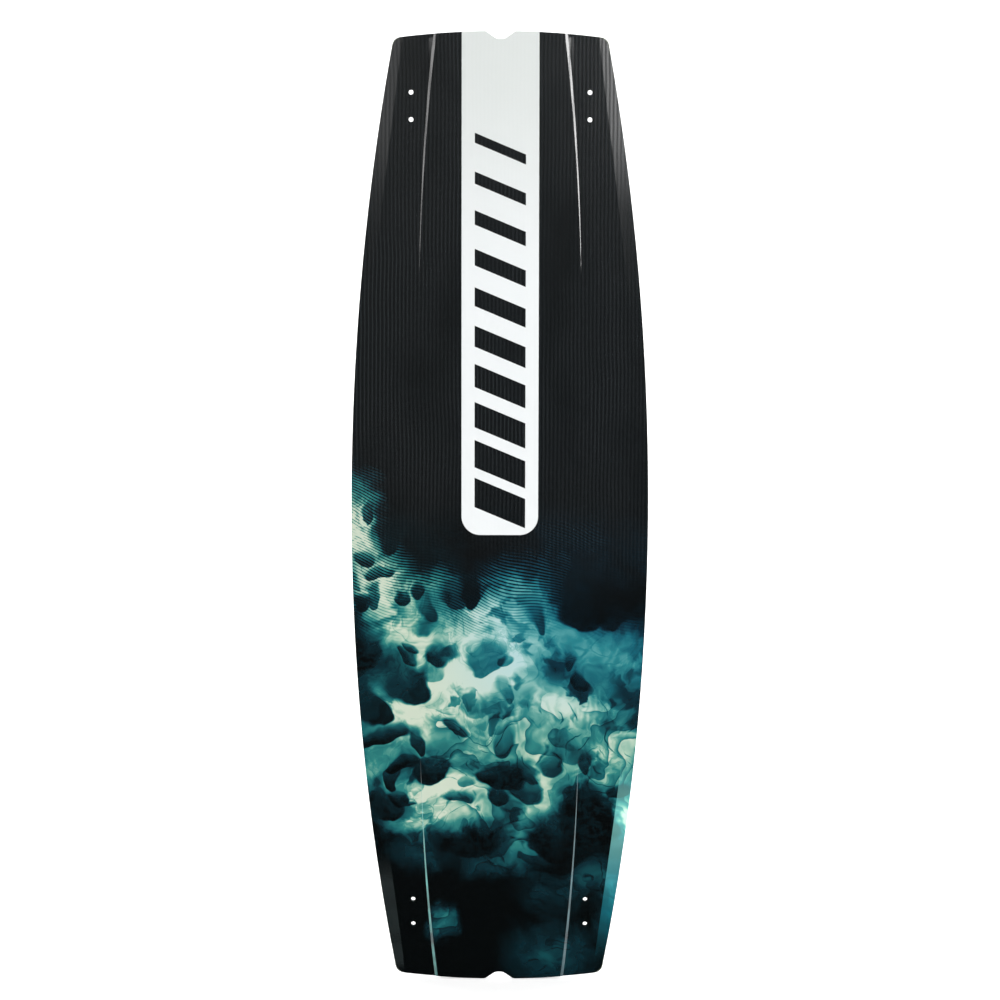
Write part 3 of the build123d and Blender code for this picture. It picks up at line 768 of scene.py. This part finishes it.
# black field with fine lengthwise lines
FIELD_LINE_PITCH = 0.0058
sway = noise(tree, stretched(tree, place, 1.0, 0.0, 1.0), 5.0, 2.0).outputs["Fac"]
lane = calc(tree, "MULTIPLY_ADD", sway, 0.012, x)
lines = calc(tree, "SINE", calc(tree, "MULTIPLY", lane, 2 * pi / FIELD_LINE_PITCH))
lines = calc(tree, "MULTIPLY_ADD", lines, 0.5, 0.5)
patchy = between(tree, noise(tree, stretched(tree, place, 1.0, 0.0, 0.5), 8.0, 3.0).outputs["Fac"], 0.2, 0.6)
lines = calc(tree, "MULTIPLY", lines, patchy)
black_field = mixed(tree, lines, (0.0025, 0.0032, 0.0034, 1), (0.0118, 0.0136, 0.0148, 1))
field_share = between(tree, z, 0.56, 0.80)
black_field = mixed(tree, field_share, (0.0004, 0.0010, 0.0012, 1), black_field)
colour = blended(tree, "ADD", black_field, ink["Color"])

# white stripe down the centre from the nose, with rounded corners at its end, and plain slanted bars on it
STRIPE_HALF, STRIPE_END, STRIPE_RADIUS = 0.0575, 0.7018, 0.0285
aside = calc(tree, "ABSOLUTE", x)
over_x = calc(tree, "MAXIMUM", calc(tree, "SUBTRACT", aside, STRIPE_HALF - STRIPE_RADIUS), 0.0)
over_z = calc(tree, "MAXIMUM", calc(tree, "SUBTRACT", STRIPE_END + STRIPE_RADIUS, z), 0.0)
corner = wire(tree, "CombineXYZ", {0: over_x, 1: over_z}).outputs[0]
outside = calc(tree, "SUBTRACT", wire(tree, "VectorMath", {0: corner}, operation="LENGTH").outputs["Value"],
               STRIPE_RADIUS)
stripe = between(tree, outside, 0.0003, -0.0003)
BAR_HALF, BAR_FIRST, BAR_LAST, BAR_PITCH = 0.038, 0.728, 1.31, 0.0602
BAR_SLANT, BAR_FIRST_SHARE, BAR_THINNING = 0.42, 0.74, 0.055
slanted = calc(tree, "MULTIPLY_ADD", x, BAR_SLANT, z)
run = calc(tree, "DIVIDE", calc(tree, "SUBTRACT", slanted, BAR_FIRST), BAR_PITCH)
thick = calc(tree, "MULTIPLY_ADD", calc(tree, "FLOOR", run), -BAR_THINNING, BAR_FIRST_SHARE)
in_bar = between(tree, calc(tree, "SUBTRACT", calc(tree, "FRACT", run), thick), 0.004, -0.004)
in_lane = between(tree, calc(tree, "SUBTRACT", aside, BAR_HALF), 0.0003, -0.0003)
in_run = calc(tree, "MULTIPLY", between(tree, slanted, BAR_FIRST - 0.0003, BAR_FIRST + 0.0003),
              between(tree, slanted, BAR_LAST + 0.0003, BAR_LAST - 0.0003))
bars = product(tree, in_bar, in_lane, in_run)
white = mixed(tree, between(tree, z, 1.05, 1.42), (0.745, 0.77, 0.775, 1), (0.635, 0.665, 0.65, 1))
stripe_share = calc(tree, "MULTIPLY", stripe, calc(tree, "SUBTRACT", 1.0, bars))
colour = mixed(tree, stripe_share, colour, white)

# the sloped facets beside the tail get a painted highlight in the print: a bright teal band on the left facet
# and a dimmer blue one on the right, broken up along the board
surface = tree.nodes.new("ShaderNodeNewGeometry").outputs
turned = calc(tree, "ABSOLUTE", wire(tree, "SeparateXYZ", {0: surface["Normal"]}).outputs["X"])
facet = product(tree, between(tree, turned, 0.20, 0.35), between(tree, z, 0.34, 0.28),
                between(tree, aside, 0.17, 0.16))
streak = noise(tree, stretched(tree, place, 0.0, 0.0, 1.0), 22.0, 2.0).outputs["Fac"]
facet = calc(tree, "MULTIPLY", facet, between(tree, streak, 0.30, 0.66))
left_share = between(tree, x, 0.05, -0.05)
# colours of the painted facet highlight: dim blue on the right, bright teal on the left
painted_facet_highlight = mixed(tree, left_share, (0.030, 0.105, 0.125, 1), (0.075, 0.36, 0.33, 1))
colour = mixed(tree, facet, colour, painted_facet_highlight)

# the side bevels there get painted highlights as well: a pale blue band on the right one, a dull grey sheen
# on the left one
sloped = calc(tree, "ABSOLUTE", wire(tree, "SeparateXYZ", {0: surface["True Normal"]}).outputs["X"])
bevel_highlight_mask = product(tree, between(tree, sloped, 0.020, 0.035), between(tree, sloped, 0.20, 0.15),
                between(tree, aside, 0.140, 0.142))
cloudy = calc(tree, "MULTIPLY_ADD", streak, 1.6, 0.2)
right_bevel_highlight = calc(tree, "MULTIPLY", between(tree, z, 0.01, 0.24), between(tree, z, 0.36, 0.27))
left_bevel_highlight = calc(tree, "MULTIPLY", between(tree, z, 0.21, 0.14), between(tree, z, 0.01, 0.03))
# colours of the painted bevel highlights: blue near the tail's end turning teal further up on the right, grey
# on the left
bevel_highlight_colour = mixed(tree, between(tree, z, 0.10, 0.26), (0.003, 0.170, 0.220, 1), (0.100, 0.270, 0.250, 1))
bevel_highlight_colour = mixed(tree, left_share, bevel_highlight_colour, (0.012, 0.016, 0.016, 1))
amount = calc(tree, "MULTIPLY_ADD", calc(tree, "SUBTRACT", left_bevel_highlight, right_bevel_highlight), left_share, right_bevel_highlight)
bevel_highlight_colour = blended(tree, "MULTIPLY", bevel_highlight_colour, product(tree, bevel_highlight_mask, amount, cloudy))
colour = blended(tree, "ADD", colour, bevel_highlight_colour)

orange_peel = noise(tree, place, 260.0, 2.0).outputs["Fac"]
haze = noise(tree, stretched(tree, place, 1.0, 1.0, 0.3), 30.0, 3.0).outputs["Fac"]
rough = calc(tree, "MULTIPLY_ADD", haze, 0.08, 0.13)
height = calc(tree, "MULTIPLY_ADD", lines, 0.5, calc(tree, "MULTIPLY", orange_peel, 0.25))
finish_surface(tree, shader, colour, rough, height, 0.00006)
base_sheet.data.materials.append(base_print)


# ---------------------------------------------------------------- top sheet
# The deck: a matte, finely textured plastic sheet that slopes down to thin side edges, with holes for
# the pads' and handle's inserts and for the fin screws.
MID_THICKNESS = 0.0105
TIP_THICKNESS = 0.0078
DECK_BEVEL_WIDTH = 0.040
PAD_FROM_MIDDLE = 0.270
PAD_COLUMN_HALF = 0.0825
PAD_PITCH = 0.025
HANDLE_HALF = 0.100
INSERT_HOLE_RADIUS = 0.0056


def deck_y(x, z):
    y = MID_THICKNESS + arc_height(z, HALF_LENGTH, ROCKER + TIP_THICKNESS - MID_THICKNESS)
    drop = 0.0035 - 0.0026 * (abs(z) / HALF_LENGTH) ** 2
    start = half_width_at(z) - DECK_BEVEL_WIDTH
    return y - drop * max(0.0, (abs(x) - start) / DECK_BEVEL_WIDTH)


insert_holes = [(0.0, end * HANDLE_HALF, INSERT_HOLE_RADIUS) for end in (-1, 1)]
for side in (-1, 1):
    for end in (-1, 1):
        for step in (-1.5, -0.5, 0.5, 1.5):
            insert_holes.append((side * PAD_COLUMN_HALF, end * PAD_FROM_MIDDLE + step * PAD_PITCH,
                                 INSERT_HOLE_RADIUS))

deck_mesh = flat_board()
for hole in fin_holes + insert_holes:
    cut_hole(deck_mesh, *hole)
top_sheet = shell_piece("deck", deck_mesh, deck_y, -SHEET_THICKNESS)
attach(top_sheet, "root")
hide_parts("top_sheet")

deck_print, tree, shader, place = new_material("deck_print", Specular_IOR_Level=0.35)
ink = use(tree, ink_group, {"Place": place, "Brightness": 0.55})
speckle = noise(tree, place, 1500.0, 1.0).outputs["Fac"]
deck_black = mixed(tree, speckle, (0.010, 0.011, 0.012, 1), (0.020, 0.022, 0.024, 1))
deck_colour = blended(tree, "ADD", deck_black, ink["Color"])
finish_surface(tree, shader, deck_colour, calc(tree, "MULTIPLY_ADD", speckle, 0.2, 0.45), speckle, 0.00012)
top_sheet.data.materials.append(deck_print)
